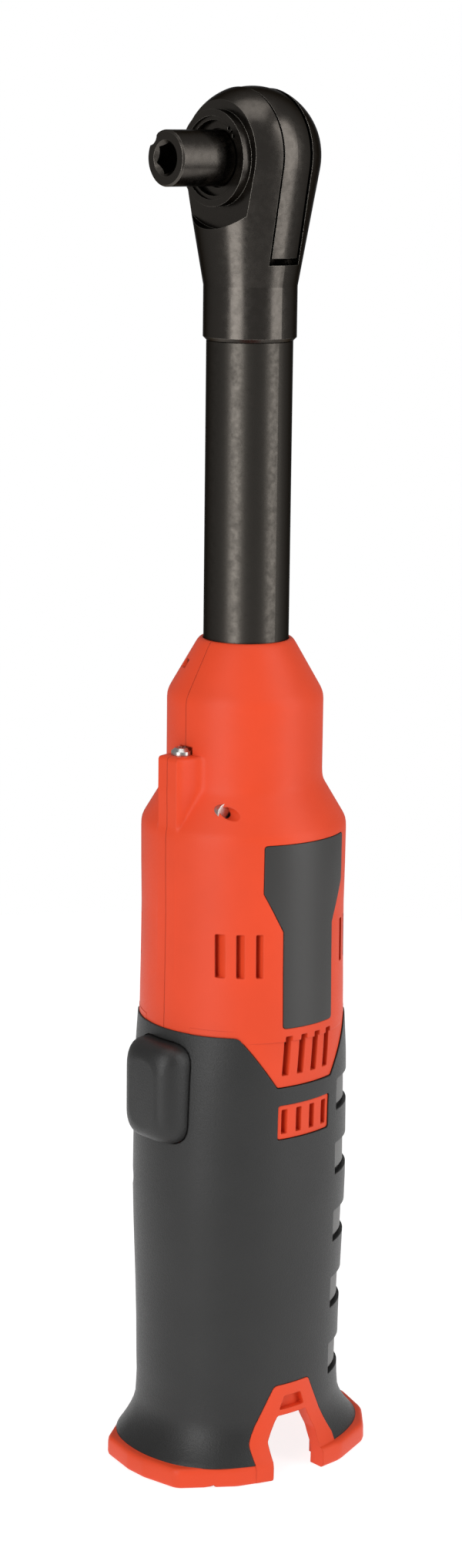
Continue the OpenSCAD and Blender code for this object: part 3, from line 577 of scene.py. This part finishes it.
def notch_outline(grow):
    foot, top = 7.3 + grow, 4.4 + grow
    points = [(-foot - 0.9, -3), (-foot - 0.6, 9.5), (-top, 15.2), (top, 15.2),
              (foot - 0.6, 9.5), (foot - 0.6, -3)]
    return [(LATCH_Y + y, z) for y, z in rounded(points, [0, 2.0, 0.8, 0.8, 2.5, 0], steps=6)]


def window_outline():
    return rounded([(-6.0, 16.6), (1.8, 16.6), (0.6, 20.0), (-4.4, 20.0)], 0.5)


def trigger_opening():
    hx, hz = TRIGGER_HX + TRIGGER_GAP, TRIGGER_HZ + TRIGGER_GAP
    return prism("trigger_opening", rectangle(0, TRIGGER_Z, hx, hz, 5.4), "Y", -60, -12)


def battery_bay():
    """The bay and its flared mouth."""
    bay = loft(
        "bay",
        [round_ring(lambda a: oval_radius(a, BAY_HX + 1, BAY_HY), z) for z in (-2, BAY_TOP)],
    )
    mouth = turned("mouth", [(31.6, -2), (BAY_HY + 0.2, 14.0)], columns=96)
    slab = prism("slab", rectangle(0, 0, BAY_HX, 60), "Z", -3, BAY_TOP + 5)
    bay = boolean(bay, mouth, "UNION")
    return boolean(bay, slab, "INTERSECT")


def slot_cutters():
    """Cooling slots, the leaning vents in the tongue and the slots in the insert."""
    parts = []
    for side in (-1, 1):
        low, high = (11, 40) if side > 0 else (-40, -11)
        for y in SLOT_Y:
            for flip in (-1, 1):
                parts.append(prism("slot", rectangle(flip * y, SLOT_Z, 0.73, 5.3, 0.3), "X", low, high))
        for y in VENT_Y:
            foot, top = VENT_Z
            tall = [(y - VENT_HALF - VENT_LEAN, foot), (y + VENT_HALF - VENT_LEAN, foot),
                    (y + VENT_HALF + VENT_LEAN, top), (y - VENT_HALF + VENT_LEAN, top)]
            parts.append(prism("vent", rounded(tall, 0.3), "X", low, high))
            parts.append(prism("vent", rectangle(y, 90.8, 0.82, 3.05, 0.25), "X", low, high))
    return join("slots", parts)


def screw_cutters():
    # side, Y, Z and radius of each screw hole
    places = [(1, -16.5, 166, 1.45), (-1, 16.5, 166, 2.25), (-1, -20.7, 71, 2.7),
              (-1, 17, 71, 2.3), (-1, 17, 101.5, 2.3)]
    parts = []
    for side, y, z, radius in places:
        low, high = (10.6, 60) if side > 0 else (-60, -10.6)
        parts.append(prism("screw_way", disc(y, z, radius), "X", low, high))
    return join("screw_ways", parts)


def panel_outline(grow):
    wide, slim = 12.3 + grow, 7.7 + grow
    points = [(-wide, 159 + grow), (wide, 159 + grow), (wide, 147.5), (slim, 138 - grow * 0.5),
              (slim, 114.3 - grow), (-slim, 114.3 - grow), (-slim, 138 - grow * 0.5), (-wide, 147.5)]
    return rounded(points, 0.9)


def panel_band(offset):
    """Profile of the housing beside the panels, moved outwards by offset."""
    return [(r + offset, z) for z, r in HOUSING_ROWS if 110 < z < 165]


def over_ledge_screw(obj):
    """Moves a solid turned about the tool axis to the ledge screw's axis."""
    for vert in obj.data.vertices:
        vert.co.y += LEDGE_SCREW_Y * MM
    return obj


def side_prisms(name, outline, reach=60):
    """An outline in Y and Z, run out to both sides."""
    return join(name, [
        prism(name, outline, "X", 8, reach),
        prism(name, outline, "X", -reach, -8),
    ])


shell = housing_outer()
lower = handle_solid("lower", SKIN, 0.6, GRIP_TOP + 1)
shell = boolean(shell, lower, "UNION")
pads = handle_solid("pads", 0.3, 0.6, GRIP_TOP + 1.5)
pads = boolean(pads, join("windows", [
    side_prisms("tongue", tongue_outline(-0.08)), side_prisms("insert", insert_outline(-0.08)),
]), "INTERSECT")
shell = boolean(shell, pads, "UNION")
shell = boolean(shell, housing_inner())
room = handle_solid("room", SKIN + WALL, BAY_TOP + 5, GRIP_TOP + 4)
shell = boolean(shell, room)
bay = battery_bay()
shell = boolean(shell, bay, keep_tool=True)
shell = boolean(shell, slot_cutters())
shell = boolean(shell, screw_cutters())
shell = boolean(shell, trigger_opening())
shell = boolean(shell, side_prisms("notch", notch_outline(3.2)))
screw_well = turned("well", [(1.3, LEDGE_Z - 12), (1.3, LEDGE_Z + 1)], columns=32)
shell = boolean(shell, over_ledge_screw(screw_well))
screw_seat = turned("screw_seat", [(2.7, LEDGE_Z + 0.0005), (2.7, LEDGE_Z + 1.9)], columns=48)
shell = boolean(shell, over_ledge_screw(screw_seat))

# Slit for the light, which looks up along the neck
light_turn = Matrix.Rotation(math.atan2(LENS.y, LENS.x), 4, "Z")
slit = prism("slit", rectangle(0, LENS.z, 1.7, 1.05, 0.3), "X", 11.0, 40)
slit.data.transform(light_turn)
shell = boolean(shell, slit)

# Seats of the side panels: the outline, down to just under the surface
seat = side_prisms("seat", panel_outline(0.12), reach=25.6)
seat = boolean(seat, turned("core", panel_band(-0.55), columns=COLUMNS))
shell = boolean(shell, seat)

for side, name in ((-1, "left_housing"), (1, "right_housing")):
    half = copy_of(shell, name + "_half")
    box = rectangle(side * 50, 0, 50 - SEAM, 80)
    half = boolean(half, prism("half_box", box, "Z", -10, 250), "INTERSECT")
    finish_piece(half, name + "_shell", "tool", ORANGE, [name])
discard(shell)

# Side panels: a skin just proud of the housing
for side, name in ((-1, "left_side_panel"), (1, "right_side_panel")):
    skin = turned("skin", panel_band(0.12), columns=COLUMNS)
    (foot_r, foot_z), *rest = panel_band(-0.5)
    core = turned("core", [(foot_r, foot_z - 1), *rest], columns=COLUMNS)
    low, high = (8, 40) if side > 0 else (-40, -8)
    plate = boolean(prism("plate", panel_outline(0), "X", low, high), skin, "INTERSECT")
    plate = boolean(plate, core)
    finish_piece(plate, name + "_plate", "tool", PANEL, [name])

# ---------------------------------------------------------------- grip sleeve

sleeve = handle_solid("sleeve", 0, 4.9, GRIP_TOP)
sleeve = boolean(sleeve, handle_solid("sleeve_inner", SKIN - 0.03, 2.0, GRIP_TOP + 3))
sleeve = boolean(sleeve, side_prisms("tongue", tongue_outline(0.1)))
sleeve = boolean(sleeve, side_prisms("insert", insert_outline(0.08)))
sleeve = boolean(sleeve, side_prisms("arch", arch_outline(0.08)))
sleeve = boolean(sleeve, trigger_opening())
sleeve = boolean(sleeve, screw_cutters())
grooves = []
ledges = []
for middle in RECESS_Z:
    low = middle - RECESS_H / 2
    groove = rectangle(RECESS_Y + 30, middle, 30, RECESS_H / 2, 0.6)
    ledge = rectangle(RECESS_Y + 4.5, low + 0.5, 4.5, 0.55, 0.2)
    grooves.append(prism("groove", groove, "X", -60, 60))
    ledges.append(prism("ledge", ledge, "X", -60, 60))
floor_form = handle_solid("floor_form", 0.7, 2.0, GRIP_TOP + 3)
cutter = boolean(join("grooves", grooves), floor_form)
sleeve = boolean(sleeve, cutter)
deep_form = handle_solid("deep_form", 1.35, 2.0, GRIP_TOP + 3)
cutter = boolean(join("ledges", ledges), deep_form)
sleeve = boolean(sleeve, cutter)
finish_piece(sleeve, "grip_overmould", "tool", GRIP, ["grip_sleeve"])


def on_groove_floor(polygon):
    """True for a face on the sunk floor of a finger groove, above its dark ledge: the faces that get the
    painted light.
    """
    x, y, z = polygon.center / MM
    hx, hy, back = between(HANDLE_ROWS, z)
    depth = oval_radius(math.atan2(y - back, x), hx, hy) - math.hypot(x, y - back)
    in_groove = any(-RECESS_H / 2 + 1 < z - middle < RECESS_H / 2 - 0.02 for middle in RECESS_Z)
    return in_groove and y > RECESS_Y + 0.02 and 0.5 < depth < 1.0


# The groove floors take the lighter grey, which is painted light
sleeve.data.materials.append(GROOVE_FLOOR_LIGHT)
for polygon in sleeve.data.polygons:
    polygon.material_index = int(on_groove_floor(polygon))

# ---------------------------------------------------------------- base ring


def base_outline(inset):
    """Outline of the rim: a shallow bow front and back, and long sides that bulge to the middle."""
    half = [
        (3.0, BASE_FRONT), (13.2, -31.2), (22.0, -19.0), (27.2, -5.0), (BASE_HX, 3.0), (26.9, 11.0),
        (22.3, 23.2), (14.5, 30.0), (4.0, BASE_REAR),
    ]
    whole = half + [(-x, y) for x, y in reversed(half)]
    turns = [6, 4, 8, 10, 10, 10, 8, 8, 8]
    return [
        (x * (1 - inset / BASE_HX), y * (1 - inset / BASE_REAR))
        for x, y in rounded(whole, turns + turns[::-1], steps=9)
    ]


# Height of each level of the rim, and how far it is drawn in there
flange_rows = [
    (0.0, 0.9), (0.15, 0.5), (0.5, 0.15), (1.0, 0.0), (3.6, 0.05),
    (4.4, 0.2), (4.8, 0.45), (5.0, 0.8), (5.05, 1.3),
]
flange = loft("flange", [[(x, y, z) for x, y in base_outline(inset)] for z, inset in flange_rows])
arch = handle_solid("arch", -0.12, 0.4, ARCH_TOP + 2)
arch = boolean(arch, side_prisms("arch", arch_outline(0)), "INTERSECT")
ring = boolean(flange, arch, "UNION")
ring = boolean(ring, handle_solid("ring_inner", SKIN + 1.9, -2.0, ARCH_TOP + 4))
ring = boolean(ring, bay)
ring = boolean(ring, side_prisms("notch", notch_outline(0)))
ring = boolean(ring, side_prisms("window", window_outline()))
finish_piece(ring, "base_rim", "tool", ORANGE, ["base_ring"])

# ---------------------------------------------------------------- trigger

# Depth of the rounding behind the face, and how far it draws the outline in, across and up
SIDE_DEPTH, SIDE_DRAW = 6.6, 4.8
END_DEPTH, END_DRAW = 5.0, 4.2
TRIGGER_CORNER = 5.2
ROUNDING_STEPS = 21
FACE_Y = TRIGGER_LOW.y


def drawn_in(depth, reach, draw):
    """How far an outline is drawn in at that depth behind the face."""
    lack = max(0.0, 1 - depth / reach)
    return draw * (1 - math.sqrt(1 - lack * lack))


trigger_rings = []
for step in range(-1, ROUNDING_STEPS + 1):
    turn = math.pi / 2 * step / ROUNDING_STEPS
    depth = PAD_DEPTH if step < 0 else SIDE_DEPTH * (1 - math.sin(turn))
    hx = TRIGGER_HX - drawn_in(depth, SIDE_DEPTH, SIDE_DRAW)
    hz = TRIGGER_HZ - drawn_in(depth, END_DEPTH, END_DRAW)
    corner = min(hx, hz, TRIGGER_CORNER) - 0.01
    outline = rounded([(-hx, -hz), (hx, -hz), (hx, hz), (-hx, hz)], corner, steps=8)
    trigger_rings.append([(u, FACE_Y + depth, TRIGGER_Z + v) for u, v in outline])
pad = loft("pad", trigger_rings)
finish_piece(pad, "trigger_pad", "trigger", GRIP, ["trigger"], sharp_deg=60)

# ---------------------------------------------------------------- floor, light and camera

FLOOR_R = 520.0
floor = new_object("floor", round_ring(FLOOR_R, -0.05, columns=96), [tuple(range(96))])
floor_paint, _, _ = shader(
    "floor_white", (0.3, 0.3, 0.3), 0.9,
    sockets={"Emission Color": (1, 1, 1, 1), "Emission Strength": 0.86},
)
floor.data.materials.append(floor_paint)

CAMERA_TURN = math.radians(48.1)  # bearing of the camera, from the front towards +X
CAMERA_DROP = math.radians(12.35)  # how far it looks down
CAMERA_ROLL = 0.0118
CAMERA_AIM = math.atan2(17.4, 4050)  # small turn away from the tool axis
LIGHT_TARGET = Vector((0, 0, 0.2))


def seen_from(azimuth_deg, distance, height):
    """Place in metres at that bearing from the camera's own bearing: positive is to its right."""
    a = CAMERA_TURN + math.radians(azimuth_deg)
    return Vector((distance * math.sin(a), -distance * math.cos(a), height))


def soft_light(name, place, size, radiance):
    """A softbox aimed at the object, as bright as radiance times a white world of strength 1."""
    data = bpy.data.lights.new(name, "AREA")
    data.shape = "RECTANGLE"
    data.size, data.size_y = size
    data.energy = radiance * math.pi * size[0] * size[1]
    lamp = bpy.data.objects.new(name, data)
    lamp.location = place
    lamp.rotation_euler = (LIGHT_TARGET - place).to_track_quat("-Z", "Y").to_euler()
    bpy.context.scene.collection.objects.link(lamp)


soft_light("key", seen_from(-34, 1.4, 0.4), (0.75, 1.9), 3.9)
soft_light("fill", seen_from(68, 1.4, 0.6), (0.8, 2.1), 3.0)
soft_light("top", Vector((0.15, -0.15, 1.7)), (1.0, 1.0), 1.6)

world = bpy.data.worlds.new("studio")
bpy.context.scene.world = world
world.use_nodes = True
tree = world.node_tree
background = tree.nodes["Background"]
background.inputs["Color"].default_value = (1, 1, 1, 1)
seen = tree.nodes.new("ShaderNodeLightPath")
brightness = remap(tree, seen.outputs["Is Camera Ray"], 0, 1, 0.3, 1.0)
tree.links.new(brightness, background.inputs["Strength"])

camera_data = bpy.data.cameras.new("camera")
camera_data.lens = 71.65
camera_data.sensor_width = 36
camera = bpy.data.objects.new("camera", camera_data)
camera.location = seen_from(0, 0.733, 0.3291)
camera.rotation_euler = (
    Matrix.Rotation(CAMERA_TURN + CAMERA_AIM, 4, "Z")
    @ Matrix.Rotation(math.radians(90) - CAMERA_DROP, 4, "X")
    @ Matrix.Rotation(CAMERA_ROLL, 4, "Z")
).to_euler()
bpy.context.scene.collection.objects.link(camera)
bpy.context.scene.camera = camera
bpy.context.scene.view_settings.view_transform = "Standard"
